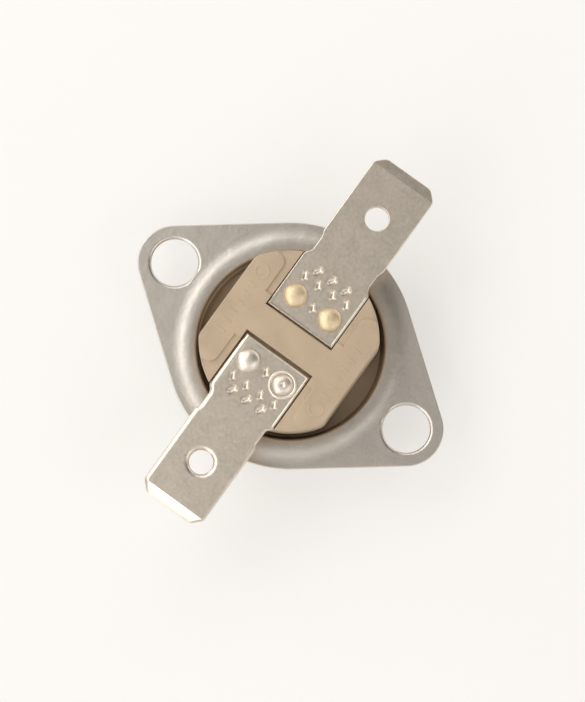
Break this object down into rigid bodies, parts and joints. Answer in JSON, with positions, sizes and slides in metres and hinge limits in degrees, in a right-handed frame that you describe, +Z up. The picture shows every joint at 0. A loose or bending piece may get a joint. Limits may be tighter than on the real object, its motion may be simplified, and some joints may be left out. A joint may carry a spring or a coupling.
{
  "type": "bimetal thermostat",
  "caption": "Snap-disc bimetal thermostat: round flanged aluminium cup with a moulded switch body and flat spade terminals; opens its circuit when the sensing face gets hot.",
  "frame": {"origin": "centre of the flat sensing face, on the bottom of the cup", "axes": "+Z up from the sensing face to the terminals, X along the terminals with +X towards the blade's terminal, Y along the line of the mounting holes"},
  "size_m": [0.0358, 0.032, 0.0128],
  "materials": {
    "cup_aluminium": "satin drawn aluminium",
    "body_moulding": "tan phenolic moulding, dull",
    "terminal_plate": "tin-plated brass sheet, satin",
    "rivet_brass": "bright brass",
    "rivet_plated": "bright tin-plated brass",
    "disc_bimetal": "rolled bimetal strip",
    "guide_moulding": "brown phenolic moulding",
    "pin_ceramic": "fired white ceramic",
    "blade_spring": "copper-alloy spring strip",
    "carrier_brass": "rolled brass strip",
    "contact_silver": "silver alloy contact"
  },
  "bodies": {
    "switch": {"flanged_cup": "cup_aluminium", "body": "body_moulding", "arm_terminal": "terminal_plate", "contact_terminal": "terminal_plate", "arm_rivets": "rivet_brass", "carrier_rivet": "rivet_plated", "carrier_rivet_spun": "rivet_plated", "bimetal_disc": "disc_bimetal", "pin_guide": "guide_moulding", "contact_carrier": "carrier_brass", "fixed_contact": "contact_silver"},
    "pin": {"transfer_pin": "pin_ceramic"},
    "blade": {"contact_arm": "blade_spring", "moving_contact": "contact_silver"}
  },
  "joints": [
    {"name": "pin_lift", "type": "slide", "parent": "switch", "child": "pin", "axis": [0, 0, 1], "range_m": [0, 0.00025], "deforming": ["bimetal_disc"]},
    {"name": "blade_lift", "type": "hinge", "parent": "switch", "child": "blade", "pos_m": [0.0024, 0, 0.00997], "axis": [0, 1, 0], "range_deg": [0, 6.4], "stiffness_Nm_per_rad": 0.01, "springref_deg": -2.86, "deforming": ["contact_arm"]}
  ],
  "couplings": [
    {"joint": "blade_lift", "follows": "pin_lift", "rad_per_m": 440}
  ]
}
